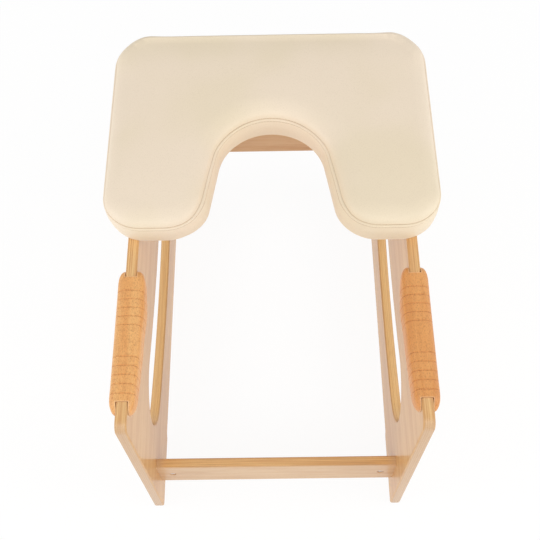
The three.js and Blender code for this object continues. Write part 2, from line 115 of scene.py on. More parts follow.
class Finish:
    """A material, or the world, being mixed: node() adds any node, the others the usual ones."""

    def __init__(self, name, kind="materials", shader="Principled BSDF"):
        self.material = getattr(bpy.data, kind).new(name)
        self.material.use_nodes = True
        self.tree = self.material.node_tree
        self.shader = self.tree.nodes[shader]

    def node(self, kind, settings, values, output=0):
        """Adds a node of a kind with its settings, then its socket values or links."""
        made = self.tree.nodes.new("ShaderNode" + kind)
        for name, value in settings.items():
            setattr(made, name, value)
        self.feed(made, values)
        return Wire(self, made.outputs[output])

    def feed(self, made, values):
        """Links the sockets of a node where the value is a wire, and sets the others."""
        for name, value in values.items():
            if isinstance(value, Wire):
                self.tree.links.new(value.socket, made.inputs[name])
            else:
                made.inputs[name].default_value = value

    def place(self, centre=(0, 0, 0), axes=((1, 0, 0), (0, 1, 0), (0, 0, 1))):
        """Object coordinates in millimetres about a centre, turned so that axes are x, y, z."""
        turned = Matrix(axes)
        return self.node("Mapping", {}, {
            "Vector": self.node("TexCoord", {}, {}, output="Object"),
            "Location": -(turned @ Vector(centre)),
            "Rotation": turned.to_euler(),
            "Scale": (1000, 1000, 1000),
        })

    def part(self, vector, axis):
        """One part of a vector: 0, 1 or 2 for x, y or z."""
        return self.node("SeparateXYZ", {}, {0: vector}, output=axis)

    def stretched(self, vector, factors):
        """A vector with its three parts multiplied by the factors."""
        return self.node("VectorMath", {"operation": "MULTIPLY"}, {0: vector, 1: factors})

    def maths(self, operation, *values):
        """A Math node on wires or numbers."""
        return self.node("Math", {"operation": operation}, dict(enumerate(values)))

    def noise(self, vector, factors, detail=2.0, roughness=0.5, distortion=0.0):
        """Cloudy noise from 0 to 1 on a stretched vector."""
        return self.node("TexNoise", {}, {
            "Vector": self.stretched(vector, factors), "Scale": 1.0, "Detail": detail,
            "Roughness": roughness, "Distortion": distortion,
        })

    def ramp(self, value, low, high):
        """Rises smoothly from 0 where value is low to 1 where it is high."""
        return self.node("MapRange", {"interpolation_type": "SMOOTHSTEP"}, {
            "Value": value, "From Min": low, "From Max": high,
        })

    def mix(self, share, first, second):
        """Two colours mixed: only the first where share is 0, only the second where it is 1."""
        return self.node("Mix", {"data_type": "RGBA"}, {0: share, 6: first, 7: second}, output=2)

    def bump(self, height, distance, strength):
        """A normal tilted by the slope of a height, which is times the distance in metres."""
        return self.node("Bump", {}, {
            "Height": height, "Distance": distance, "Strength": strength})

    def shade(self, values):
        """Feeds the shader's own sockets and hands over the finished material."""
        self.feed(self.shader, values)
        return self.material


def colour(red, green, blue):
    """A display colour from 0 to 255 as the linear light that a shader takes."""
    share = np.array((red, green, blue)) / 255
    linear = np.where(share <= 0.04045, share / 12.92, ((share + 0.055) / 1.055) ** 2.4)
    return (*linear.tolist(), 1.0)


ply_thickness = 14.5
ply_count = 11

panel_veneer = (colour(222, 178, 117), colour(205, 152, 91))
# Painted light: the rails' veneer is paler and pinker than the panels', for the front light that
# falls on their faces.
rail_veneer_painted_light = (colour(225, 189, 145), colour(208, 162, 114))
long_ply = colour(240, 198, 136)
cross_ply = colour(216, 162, 102)
glue_and_shade_tone = colour(172, 118, 72)
paler_edge_tone = colour(255, 214, 148)
end_grain = colour(218, 183, 144)
end_streak = colour(197, 153, 110)
end_reach = 16
# The slot's walls are painted paler, a painted light where the slot is in shadow, and painted
# shade darkens them towards its tips.
slot_zone = 130
slot_painted_light = 0.4
tip_shade = (22, 4)
tip_margin = 3


def plywood(name, veneers, centre, axes, seed, half_length, slot_tip=0.0, paleness=0.0):
    """
    Solid birch plywood: x along the face grain, y across it, z through the plies. The ply number
    is z over the thickness times the count, and noise on that number gives each ply a tone of
    its own. The last millimetres of the length show end grain. A slot that ends at the distance
    slot_tip from the middle has its walls painted paler, a painted light where the slot is in
    shadow, with painted shade towards its tips. The last argument is the share of the same paler
    tone in all of the edges. The seed is a sheet's own place in the grain.
    """
    finish = Finish(name)
    laid = finish.place(centre=centre, axes=axes)
    sheet = (seed * 731.0, seed * 97.0, 0)
    board = finish.node("VectorMath", {"operation": "ADD"}, {0: laid, 1: sheet})
    through = finish.part(board, 2)
    wander = finish.noise(board, (0.02, 0.05, 0.0)) - 0.5
    ply = through * (ply_count / ply_thickness) + (ply_count / 2) + wander * 0.25
    index = finish.maths("FLOOR", ply)
    odd = index % 2.0
    face = finish.maths("MAXIMUM", ply < 1.0, ply > ply_count - 1.0)
    from_middle = abs(finish.part(laid, 0))

    figure = finish.noise(board, (0.006, 0.05, 0.4), 4.0, 0.55, 0.6)
    streaks = finish.noise(board, (0.014, 0.55, 0.7), 3.0, 0.6)
    fibres = finish.noise(board, (0.09, 2.6, 2.6), 2.0, 0.5)
    pores = finish.noise(board, (0.9, 0.9, 0.9), 3.0, 0.7)
    ply_place = finish.node("CombineXYZ", {}, {
        0: finish.part(board, 0), 1: index, 2: finish.part(board, 1)})
    own = finish.noise(ply_place, (0.008, 3.7, 0.004), 1.0)

    veneer_tone = finish.ramp(figure * 0.5 + streaks * 0.35 + fibres * 0.15, 0.36, 0.66)
    veneer = finish.mix(veneer_tone, *veneers)
    core = finish.mix(finish.ramp(own + odd * 0.16, 0.38, 0.72), long_ply, cross_ply)
    core = finish.mix(finish.ramp(pores, 0.4, 0.75) * 0.3, core, cross_ply)
    near_glue = finish.ramp(abs(ply - index - 0.5), 0.38, 0.5)
    core = finish.mix(near_glue * finish.ramp(own, 0.35, 0.6) * 0.6, core, glue_and_shade_tone)
    core = finish.mix(finish.ramp(streaks, 0.5, 0.72) * 0.4, core, glue_and_shade_tone)
    cut_end = finish.mix(finish.ramp(pores, 0.35, 0.7) * 0.6 + odd * 0.25, end_grain, end_streak)
    at_end = finish.ramp(from_middle, half_length - end_reach, half_length - 1)
    core = finish.mix(at_end * 0.85, core, cut_end)
    if slot_tip:
        # Painted light makes the slot's walls paler, and painted shade darkens them towards the
        # tips.
        in_slot = (abs(finish.part(laid, 1)) < slot_zone) * (from_middle < slot_tip + tip_margin)
        core = finish.mix(in_slot * slot_painted_light, core, paler_edge_tone)
        tip = finish.ramp(from_middle, slot_tip - tip_shade[0], slot_tip - tip_shade[1])
        core = finish.mix(tip * in_slot * 0.7, core, glue_and_shade_tone)
    if paleness:
        core = finish.mix(paleness, core, paler_edge_tone)
    wood = finish.mix(face, core, veneer)
    wood = finish.mix(finish.ramp(fibres, 0.55, 0.8) * 0.18, wood, glue_and_shade_tone)

    return finish.shade({
        "Base Color": wood,
        "Roughness": 0.46 + streaks * 0.14,
        "Coat Weight": 0.4,
        "Coat Roughness": 0.16,
        "Normal": finish.bump(fibres * 0.6 + streaks * 0.4, 0.00012, 0.35),
    })


def millimetres(node):
    """Lowest and highest corner of a CAD node, in millimetres."""
    return [np.array(corner) * 1000 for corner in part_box(node)]


def arc(centre, radius, start, end, count):
    """Points on a circle about a centre, at even angles from start to end in degrees."""
    angle = np.radians(np.linspace(start, end, count))
    return np.stack([centre[0] + radius * np.cos(angle), centre[1] + radius * np.sin(angle)], 1)


def unit(vectors):
    """Vectors brought to length 1."""
    return vectors / np.linalg.norm(vectors, axis=-1, keepdims=True)


def towards_wood(loop, distance):
    """
    A closed loop moved to its left by a distance: each point goes along the bisector of its two
    edges' left normals, further where the corner is sharp, so that the edges stay parallel.
    """
    before = loop - np.roll(loop, 1, 0)
    after = np.roll(loop, -1, 0) - loop
    bisector = sum(unit(np.stack([-edge[:, 1], edge[:, 0]], 1)) for edge in (before, after))
    scale = 2 / np.sum(bisector ** 2, 1, keepdims=True)
    return loop + bisector * scale * distance


def inside(points, loop):
    """True where a point lies in a closed loop: a ray to +x crosses it an odd number of times."""
    start, end = loop, np.roll(loop, -1, 0)
    x, y = points[:, 0, None], points[:, 1, None]
    spans = (start[None, :, 1] > y) != (end[None, :, 1] > y)
    rise = np.where(end[:, 1] == start[:, 1], 1.0, end[:, 1] - start[:, 1])
    crossing = start[:, 0] + (y - start[:, 1]) * (end[:, 0] - start[:, 0]) / rise
    return np.sum(spans & (x < crossing), 1) % 2 == 1


def filled(outer, holes, inner_points=()):
    """Triangles, counter-clockwise, that fill an outer loop around its holes and inner points."""
    loops = [outer, *holes]
    extra = [np.array(inner_points)] if len(inner_points) else []
    flat = np.concatenate(loops + extra)
    edges = []
    first = 0
    for loop in loops:
        place = np.arange(len(loop))
        edges += np.stack([first + place, first + (place + 1) % len(loop)], 1).tolist()
        first += len(loop)
    made = delaunay_2d_cdt([Vector(point) for point in flat.tolist()], edges, [], 1, 1e-6, True)
    triangles = np.array(made[2])
    middle = flat[triangles].mean(1)
    kept = inside(middle, outer)
    for hole in holes:
        kept &= ~inside(middle, hole)
    return triangles[kept]


def skin(rows, count, first=0):
    """Quads between neighbouring closed rings of a grid of rows by count points."""
    row, place = np.mgrid[0:rows - 1, 0:count]
    here = first + row * count + place
    beside = first + row * count + (place + 1) % count
    return np.stack([here, beside, beside + count, here + count], -1).reshape(-1, 4)


def bare_form(name, points, faces):
    """An object made of points in millimetres, with no material yet."""
    mesh = bpy.data.meshes.new(name)
    mesh.from_pydata((np.asarray(points) / 1000).tolist(), [], faces)
    form = bpy.data.objects.new(name, mesh)
    bpy.context.collection.objects.link(form)
    return form


def shaded(mesh):
    """Smooth shading but for the sharp corners."""
    mesh.shade_smooth()
    mesh.set_sharp_from_angle(angle=math.radians(42))


def new_piece(name, points, faces, material, slot):
    """A piece of the bench, from points in millimetres."""
    piece = bare_form(name, points, faces)
    piece.data.validate()
    shaded(piece.data)
    piece.data.materials.append(material)
    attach(piece, "root")
    return piece


arris_band = 0.8
arris_steps = 5


def board(outline, openings, pits, thickness, arris):
    """
    A board as points (u, v, w) and faces, w through the thickness. Each loop, wood on its left,
    is carried from one face to the other: it starts a narrow flat band inside its arris, follows
    a quarter round to the edge, runs across, and mirrors back. Openings are (loop, arris); pits
    are (loop, depth, side) and go in from the face on that side.
    """
    half = thickness / 2
    points, faces, rims = [], [], {-1: [], 1: []}
    count = 0
    for loop, radius in [(outline, arris), *openings]:
        angle = np.radians(np.linspace(0, 90, arris_steps))
        inset = np.concatenate([[radius + arris_band], radius * (1 - np.sin(angle))])
        height = np.concatenate([[half], half - radius * (1 - np.cos(angle))])
        inset = np.concatenate([inset, inset[::-1]])
        height = np.concatenate([-height, height[::-1]])
        rings = [np.column_stack([towards_wood(loop, step), np.full(len(loop), way)])
                 for step, way in zip(inset, height)]
        last = count + (len(rings) - 1) * len(loop)
        for side, ring, start in ((-1, rings[0], count), (1, rings[-1], last)):
            rims[side].append((ring[:, :2], start + np.arange(len(loop))))
        points += rings
        faces += skin(len(rings), len(loop), count).tolist()
        count += len(rings) * len(loop)
    for loop, depth, side in pits:
        mouth = np.column_stack([loop, np.full(len(loop), side * half)])
        floor = np.column_stack([loop, np.full(len(loop), side * (half - depth))])
        wall = skin(2, len(loop), count)
        if side > 0:
            wall = wall[:, ::-1]
        faces += wall.tolist()
        floor_face = (count + len(loop) + np.arange(len(loop)))[::side]
        faces.append(floor_face[::-1].tolist())
        points += [mouth, floor]
        rims[side].append((loop, count + np.arange(len(loop))))
        count += 2 * len(loop)
    for side, loops in rims.items():
        number = np.concatenate([indices for _, indices in loops])
        triangles = number[filled(loops[0][0], [ring for ring, _ in loops[1:]])]
        faces += triangles[:, ::side].tolist()
    return np.concatenate(points), faces


panel_low, panel_high = millimetres("side_panel_left")
panel_depth = panel_high[1] - panel_low[1]
panel_height = panel_high[2]
nose_radius = 13
heel_radius = 6
front_foot = 107
rear_foot = 90
foot_relief = 7
foot_blend = 10
panel_arris = 2.4

slot_width = 123
slot_lowest = 87
slot_lowest_at = 0.575
slot_sweep = 1000
slot_end_margin = 80

grip_low, grip_high = millimetres("grip_left")
grip_bridge = 9.7
grip_bridge_margin = 12
lowered_edge = grip_high[2] - grip_bridge
bridge_front = grip_low[1] + grip_bridge_margin
bridge_rear = grip_high[1] - grip_bridge_margin


def panel_outline():
    """
    The panel's edge, counter-clockwise from the front nose: straight runs joined by arcs. A cubic
    curve, level at both ends with its handles half the run long, leads from each foot upwards.
    """
    front, rear = panel_low[1], panel_high[1]
    top = panel_height
    share = np.linspace(0, 1, 9)[:, None]
    run = foot_blend * (1.5 * share * (1 - share) + share ** 3)
    rise = foot_relief * share ** 2 * (3 - 2 * share)
    front_slope = np.hstack([front + front_foot + run, rise])
    rear_slope = np.hstack([rear - rear_foot - run, rise])[::-1]
    return np.concatenate([
        arc((front + nose_radius, top - nose_radius), nose_radius, 90, 180, 9),
        arc((front + heel_radius, heel_radius), heel_radius, 180, 270, 6),
        front_slope,
        rear_slope,
        arc((rear - heel_radius, heel_radius), heel_radius, 270, 360, 6),
        arc((rear - nose_radius, top - nose_radius), nose_radius, 0, 90, 9),
        [(bridge_rear, top), (bridge_rear, lowered_edge)],
        [(bridge_front, lowered_edge), (bridge_front, top)],
    ])


def slot_outline():
    """The slot's edge, clockwise: two arcs about one centre, closed by half circles."""
    half = slot_width / 2
    centre = (panel_low[1] + slot_lowest_at * panel_depth, slot_lowest + half + slot_sweep)
    margin = slot_end_margin + half
    place = np.array((panel_low[1] + margin, panel_high[1] - margin))
    front, rear = np.degrees(np.arcsin((place - centre[0]) / slot_sweep))
    front_end = arc(centre, slot_sweep, front - 90, front - 90, 1)[0]
    rear_end = arc(centre, slot_sweep, rear - 90, rear - 90, 1)[0]
    loop = np.concatenate([
        arc(centre, slot_sweep + half, front - 90, rear - 90, 60)[:-1],
        arc(rear_end, half, rear - 90, rear + 90, 36)[:-1],
        arc(centre, slot_sweep - half, rear - 90, front - 90, 60)[:-1],
        arc(front_end, half, front + 90, front + 270, 36)[:-1],
    ])
    return loop[::-1]


hole_corners = 24


def bore(node, diameter):
    """A round hole's loop, clockwise, about the middle of the CAD node that it takes."""
    low, high = millimetres(node)
    middle = ((low + high) / 2)[1:]
    return arc(middle, diameter / 2, 360, 360 / hole_corners, hole_corners)


rail_names = ("lower_rail", "seat_rail_front", "seat_rail_rear")
bolt_bore = 6.6
dowel_bore = 8.6
bracket_screw_bore = 4.1
grip_screw_bore = 4.6
bore_arris = 0.2
pit_room = 0.3
dowel_pit = ply_thickness * 2 / 3 + pit_room
bracket_screw_pit = 9 + pit_room
panel_axes = ((0, 1, 0), (0, 0, 1), (1, 0, 0))

for side, sign in (("left", -1), ("right", 1)):
    low, high = millimetres(f"side_panel_{side}")
    middle = (low + high) / 2
    openings = [(slot_outline(), panel_arris)]
    pits = []
    for rail in rail_names:
        openings.append((bore(f"bolt_{rail}_{side}", bolt_bore), bore_arris))
        pits.append((bore(f"dowel_{rail}_{side}", dowel_bore), dowel_pit, -sign))
    for end in ("front", "rear"):
        openings.append((bore(f"grip_screw_{end}_{side}", grip_screw_bore), bore_arris))
        bracket_screw = f"bracket_side_screw_{end}_{side}"
        pits.append((bore(bracket_screw, bracket_screw_bore), bracket_screw_pit, -sign))
    points, faces = board(panel_outline(), openings, pits, ply_thickness, panel_arris)
    points = np.column_stack([points[:, 2] + middle[0], points[:, :2]])
    birch = plywood(f"birch_plywood_panel_{side}", panel_veneer, middle, panel_axes, 1 + sign,
                    panel_depth / 2, panel_depth / 2 - slot_end_margin)
    piece = new_piece(f"panel_{side}", points, faces, birch, "birch_plywood")
    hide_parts(f"side_panel_{side}")

# ------------------------------------------------------------------ rails, base board
# Three rails of the same plywood stand on edge between the panels, and a board of it carries the
# cushion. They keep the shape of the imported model.

rail_axes = ((1, 0, 0), (0, 0, 1), (0, -1, 0))
base_axes = ((1, 0, 0), (0, 1, 0), (0, 0, 1))
rail_paleness = 0.16

# The rails take the paler veneer, painted light for the front light on their faces.
for seed, rail in enumerate(rail_names):
    low, high = millimetres(rail)
    nodes[rail].material_slots[0].material = plywood(
        f"birch_plywood_{rail}", rail_veneer_painted_light, (low + high) / 2, rail_axes, 3 + seed,
        (high[0] - low[0]) / 2, paleness=rail_paleness)
low, high = millimetres("base_board")
nodes["base_board"].material_slots[0].material = plywood(
    "birch_plywood_base", rail_veneer_painted_light, (low + high) / 2, base_axes, 7, (high[0] - low[0]) / 2)

# ------------------------------------------------------------------ steel fittings and dowels
# Barrel nuts let into the rails, bolts through the panels, brackets and screws, all zinc plated.
# The beech dowels stay hidden in the joints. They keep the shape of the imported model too.


def zinc_steel(name, dull, bright, metallic):
    """Zinc plate: pale grey with a faint cloudy tone and fine tumbling marks."""
    finish = Finish(name)
    place = finish.place()
    cloud = finish.noise(place, (0.3, 0.3, 0.3), 3.0)
    marks = finish.noise(place, (3.0, 3.0, 3.0), 3.0, 0.6)
    return finish.shade({
        "Base Color": finish.mix(cloud, dull, bright),
        "Metallic": metallic,
        "Roughness": 0.34 + marks * 0.2,
        "Normal": finish.bump(marks, 0.00005, 0.4),
    })


def dowel_beech():
    """Dry fluted beech: pinkish brown, darker along the fibres."""
    finish = Finish("dowel_beech")
    fibres = finish.noise(finish.place(), (0.1, 1.2, 1.2), 3.0, 0.6)
    return finish.shade({
        "Base Color": finish.mix(fibres, colour(226, 190, 146), colour(196, 152, 108)),
        "Roughness": 0.62 + fibres * 0.2,
        "Normal": finish.bump(fibres, 0.0001, 0.5),
    })


steel = zinc_steel("zinc_steel", colour(204, 208, 212), colour(222, 222, 220), 0.7)
# Painted highlight: the barrel nuts take a paler, less metallic copy of the zinc, so that they
# look pale as if catching the light.
nut_zinc_painted_glint = zinc_steel("zinc_painted_glint", colour(226, 230, 236), colour(240, 242, 244), 0.25)
fittings = {
    "barrel_nut": nut_zinc_painted_glint, "bolt": steel, "bracket": steel, "grip_screw": steel,
    "dowel": dowel_beech(),
}
for name, node in nodes.items():
    for kind, finish in fittings.items():
        if name.startswith(kind):
            node.material_slots[0].material = finish

# ------------------------------------------------------------------ grips
# A milled beech bar sleeves the top edge of each panel in front, held by two screws. Its ends are
# rounded, its inner cheek swells for the palm, and two sets of five grooves ring it. The places
# and pitch of the grooves and the place of the swell are shares of its length.

grip_width = 35.5
grip_height = 45
grip_squareness = 3.3
cheek_run, cheek_drop = 22, 8.5
top_run, top_drop = 14, 13
bottom_run, bottom_drop = 46, 28
grip_swell = 2
grip_swell_at = 0.708
grip_swell_reach = 22
front_taper = 2.4
front_taper_run = (30, 85)
groove_starts = (0.118, 0.586)
groove_pitch = 0.062
groove_count = 5
groove_width = 1.6
groove_depth = 0.7
points_around = 96
station_gap = 2.5
sleeve_fit = 0.3
countersink_room = 3
grip_length = grip_high[1] - grip_low[1]
groove_places = grip_length * np.concatenate(
    [start + groove_pitch * np.arange(groove_count) for start in groove_starts])


def end_rounding(along, run, drop):
    """How far a face is drawn in near either end: a quarter ellipse of that run and drop."""
    nearest_end = np.minimum(along, grip_length - along)
    back = np.clip(1 - nearest_end / run, 0, 1)
    return drop * (1 - np.sqrt(1 - back ** 2))


def bell(length, middle, height, reach, power=2):
    """
    A bell curve: the height times e to minus the square of the distance from the middle over the
    reach. A higher power than the square gives it a flatter top.
    """
    return height * np.exp(-((length - middle) / reach) ** power)


def grip_surface(along, angle, sign):
    """
    A grip's skin from the place along it and the angle round it. The section is a rounded oblong:
    sine and cosine to the power 2 / squareness. Its cheeks, top and bottom are each drawn in at
    the ends, and all of them by a rounded notch at each groove. The inner cheek swells by a bell
    curve, and slopes in towards the front.
    """
    along, angle = np.meshgrid(along, angle, indexing="ij")
    off_groove = np.abs(along[..., None] - groove_places).min(-1)
    cut = groove_depth * np.sqrt(np.clip(1 - (2 * off_groove / groove_width) ** 2, 0, 1))
    half_width = grip_width / 2 - cut - end_rounding(along, cheek_run, cheek_drop)
    top = grip_high[2] - cut - end_rounding(along, top_run, top_drop)
    bottom = grip_high[2] - grip_height + cut + end_rounding(along, bottom_run, bottom_drop)
    power = 2 / grip_squareness
    across = np.sign(np.sin(angle)) * np.abs(np.sin(angle)) ** power
    up = np.sign(np.cos(angle)) * np.abs(np.cos(angle)) ** power
    swell = bell(along, grip_swell_at * grip_length, grip_swell, grip_swell_reach)
    inner = np.clip(-sign * across, 0, None)
    taper_start, taper_end = front_taper_run
    taper = front_taper * np.clip((taper_end - along) / (taper_end - taper_start), 0, 1)
    return np.stack([
        across * half_width - sign * inner * (swell - taper),
        grip_low[1] + along,
        (top + bottom) / 2 + up * (top - bottom) / 2,
    ], -1)


def grip_stations():
    """Places along the grip: by squares, so closer together, in the ends, and nine to a groove."""
    ends = bottom_run * np.linspace(0, 1, 22) ** 2
    in_groove = (groove_places[:, None] + groove_width * np.linspace(-0.55, 0.55, 9)).ravel()
    between = np.arange(bottom_run, grip_length - bottom_run, station_gap)
    plain = np.concatenate([ends, between, grip_length - ends])
    clear = np.abs(plain[:, None] - groove_places).min(1) > groove_width * 0.7
    return np.unique(np.concatenate([plain[clear], in_groove]).round(4))


def capped(rows, count):
    """Faces of a closed tube: the skin of its rings and a face on either end."""
    ring = np.arange(count)
    return skin(rows, count).tolist() + [ring[::-1].tolist(), ((rows - 1) * count + ring).tolist()]


def mouth_cutter(left, right):
    """
    A cutter for the slot that sleeves the panel: under the bridge along the whole grip, and up
    through the top in front of the bridge and behind it.
    """
    clear = 20
    under, over = grip_low[2] - clear, grip_high[2] + clear
    ceiling = lowered_edge + sleeve_fit
    front, rear = grip_low[1] - 1, grip_high[1] + 1
    outline = np.array([
        (front, under), (rear, under), (rear, over), (bridge_rear - sleeve_fit, over),
        (bridge_rear - sleeve_fit, ceiling), (bridge_front + sleeve_fit, ceiling),
        (bridge_front + sleeve_fit, over), (front, over)])
    points = np.concatenate([np.insert(outline, 0, x, axis=1) for x in (left, right)])
    return bare_form("cutter", points, capped(2, len(outline)))


def countersink_cutter(node, sign):
    """A cutter for a countersunk screw that points inwards: head room, cone and clearance hole."""
    low, high = millimetres(node)
    head, tip = (high[0], low[0]) if sign > 0 else (low[0], high[0])
    wide, narrow = (high[2] - low[2]) / 2 + sleeve_fit, grip_screw_bore / 2
    profile = np.array([
        (head + sign * countersink_room, wide), (head, wide),
        (head - sign * (wide - narrow), narrow), (tip - sign, narrow)])
    angle = np.linspace(0, 2 * np.pi, hole_corners, endpoint=False)[::-sign]
    rings = np.stack([
        np.repeat(profile[:, :1], hole_corners, 1),
        (low[1] + high[1]) / 2 + profile[:, 1:] * np.cos(angle),
        (low[2] + high[2]) / 2 + profile[:, 1:] * np.sin(angle),
    ], -1)
    return bare_form("cutter", rings.reshape(-1, 3), capped(len(profile), hole_corners))


beech_mottle = colour(205, 138, 80)
beech_fleck = colour(170, 104, 54)
painted_groove_shade = colour(146, 88, 44)
painted_rim_highlight = colour(252, 216, 172)


def applied(form):
    """A form's mesh with its modifiers worked in, which are then taken off."""
    depsgraph = bpy.context.evaluated_depsgraph_get()
    mesh = bpy.data.meshes.new_from_object(form.evaluated_get(depsgraph))
    form.modifiers.clear()
    return mesh


def oiled_beech(name, pale, deep, panel_middle):
    """
    Oiled beech, its grain along y: mottled, with fine dark flecks, and painted shade in broken
    lines along the floors of the grooves. A painted highlight makes the eased rim of each mouth
    paler; how far a place is from a mouth is the greater of its distances across and along.
    """
    finish = Finish(name)
    place = finish.place()
    growth = finish.noise(place, (0.09, 0.008, 0.09), 3.0, 0.5, 0.8)
    mottle = finish.noise(place, (0.35, 0.12, 0.35), 4.0, 0.65)
    flecks = finish.noise(place, (0.75, 0.42, 0.75), 3.0, 0.75)
    wood = finish.mix(finish.ramp(growth, 0.3, 0.7), pale, deep)
    wood = finish.mix(finish.ramp(mottle, 0.42, 0.72) * 0.4, wood, beech_mottle)
    wood = finish.mix(finish.ramp(flecks, 0.5, 0.64) * 0.45, wood, beech_fleck)

    along = finish.part(place, 1) - float(grip_low[1])
    pitch = groove_pitch * grip_length
    # Painted shade: broken dark lines along the floors of the grooves.
    broken = 0.12 + finish.ramp(flecks, 0.42, 0.6) * 0.4
    for start in groove_starts:
        number = (along - start * grip_length) / pitch
        nearest = finish.node("Clamp", {}, {
            "Value": finish.maths("ROUND", number), "Min": 0.0, "Max": groove_count - 1.0})
        groove = 1.0 - finish.ramp(abs((number - nearest) * pitch), 0.3, 0.8)
        wood = finish.mix(groove * broken, wood, painted_groove_shade)

    # Painted highlight: a paler band round the rim of each mouth, where its eased edge would catch
    # the light.
    across = abs(finish.part(place, 0) - float(panel_middle)) - (ply_thickness / 2 + sleeve_fit)
    front, rear = float(bridge_front - grip_low[1]), float(bridge_rear - grip_low[1])
    for beyond in (along - front, rear - along):
        rim = 1.0 - finish.ramp(finish.maths("MAXIMUM", across, beyond), 0.6, 1.5)
        wood = finish.mix(rim * 0.4, wood, painted_rim_highlight)
    return finish.shade({
        "Base Color": wood,
        "Roughness": 0.42 + mottle * 0.16,
        "Coat Weight": 0.1,
        "Coat Roughness": 0.3,
        "Normal": finish.bump(flecks * 0.5 + mottle * 0.5, 0.00015, 0.4),
    })


grip_tones = {
    "left": (colour(244, 187, 118), colour(235, 169, 100)),
    "right": (colour(235, 169, 100), colour(222, 151, 83)),
}
stations = grip_stations()
cheek = ply_thickness / 2 + sleeve_fit
for side, sign in (("left", -1), ("right", 1)):
    low, high = millimetres(f"side_panel_{side}")
    panel_middle = (low[0] + high[0]) / 2
    beech = oiled_beech(f"oiled_beech_{side}", *grip_tones[side], panel_middle)
    angles = np.linspace(0, 2 * np.pi, points_around, endpoint=False)
    rings = grip_surface(stations, angles, sign)
    rings[..., 0] += panel_middle
    *quads, front_face, rear_face = [
        face[::-1] for face in capped(len(stations), points_around)]
    quads = np.array(quads)
    # The twisted quads are split before the cut, which would leave gaps along them.
    triangles = np.concatenate([quads[:, :3], quads[:, [0, 2, 3]]]).tolist()
    faces = [*triangles, front_face, rear_face]
    piece = new_piece(f"grip_bar_{side}", rings.reshape(-1, 3), faces, beech, "beech")
    cutters = [
        mouth_cutter(panel_middle - cheek, panel_middle + cheek),
        countersink_cutter(f"grip_screw_front_{side}", sign),
        countersink_cutter(f"grip_screw_rear_{side}", sign),
    ]
    for cutter in cutters:
        cut = piece.modifiers.new("cut", "BOOLEAN")
        cut.operation = "DIFFERENCE"
        cut.solver = "EXACT"
        cut.object = cutter
    piece.data = applied(piece)
    shaded(piece.data)
    for cutter in cutters:
        bpy.data.objects.remove(cutter)
    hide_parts(f"grip_{side}")

# ------------------------------------------------------------------ cushion
# A U-shaped foam cushion covered with cream leatherette: a wall panel round the edge, a top panel
# crowned by the foam, and a seam between them that is stitched down below the edge.

cushion_low, cushion_high = millimetres("cushion")
cover_bulge = 1.5
rear_bulge = 3.4
cushion_front = cushion_low[1]
cushion_rear = cushion_high[1] + rear_bulge
half_cushion = (cushion_high[0] - cushion_low[0]) / 2 + cover_bulge
seat_height = panel_height
cushion_web = 151
gap_width = 161.5
arch_radius = 71.5
lobe_inner_radius = 58
lobe_outer_radius = 54
rear_radius = 54
wall_height = 34
rear_rise = 2.5
rear_tightness = 0.5
rear_reach = 90
left_pull = 3.4
crown_fullness = 2.35
cushion_thickness = 50
crown_reach = 34
seam_inset = 1.5
seam_lean_front = 2.0
seam_lean_gap = 5.5
seam_groove, seam_groove_reach = 1.3, 0.7
allowance_at = -2.3
allowance_rise, allowance_reach = 0.8, 1.6
second_seam = -4.4
second_groove, second_groove_reach = 0.65, 0.5
undercut = 2.0
widest_at = 17
board_inset = 8
board_thickness = 12
pocket_fit = 0.3
profile_steps = 80


def closed(loop):
    """A loop's points, or values at them, with the first again at the end."""
    return np.concatenate([loop, loop[:1]])


def distance_along(line):
    """How far along a line of points each of them is."""
    return np.concatenate([[0], np.cumsum(np.linalg.norm(np.diff(line, axis=0), axis=1))])


def at_distance(wanted, distance, values):
    """The values at a line's points, interpolated at the wanted distances along it."""
    return np.stack([np.interp(wanted, distance, column) for column in values.T], -1)


def cushion_outline(step=3.0):
    """
    The U at the widest ring, counter-clockwise, as points and their outward normals. Arcs about
    fixed centres are joined by straight lines that touch them: the arch, then the inner and outer
    corner of a lobe and the rear corner, then the same mirrored.
    """
    arch = np.array((0, cushion_high[1] - cushion_web - arch_radius))
    lobe_inner = np.array((gap_width / 2 + lobe_inner_radius, cushion_front + lobe_inner_radius))
    lobe_outer = np.array((half_cushion - lobe_outer_radius, cushion_front + lobe_outer_radius))
    rear = np.array((half_cushion - rear_radius, cushion_rear - rear_radius))
    run, drop = lobe_inner - arch
    touch = math.degrees(math.atan2(drop, run)
                         + math.acos((arch_radius + lobe_inner_radius) / math.hypot(run, drop)))
    stretches = [
        (arch, -arch_radius, 90, touch),
        (lobe_inner, lobe_inner_radius, touch + 180, 270),
        (lobe_outer, lobe_outer_radius, 270, 360),
        (rear, rear_radius, 0, 90),
    ]
    places, normals = [], []
    for centre, radius, start, end in stretches:
        count = int(abs(radius) * math.radians(abs(end - start)) / step) + 2
        ray = arc((0, 0), 1, start, end, count)
        places.append(centre + abs(radius) * ray)
        normals.append(ray * math.copysign(1, radius))
    places = np.concatenate(places)
    normals = np.concatenate(normals)
    places = np.concatenate([places, (places * (-1, 1))[::-1]])
    normals = np.concatenate([normals, (normals * (-1, 1))[::-1]])
    distance = distance_along(closed(places))
    even = np.linspace(0, distance[-1], int(distance[-1] / step), endpoint=False)
    places, normals = (at_distance(even, distance, closed(each)) for each in (places, normals))
    return places, unit(normals)


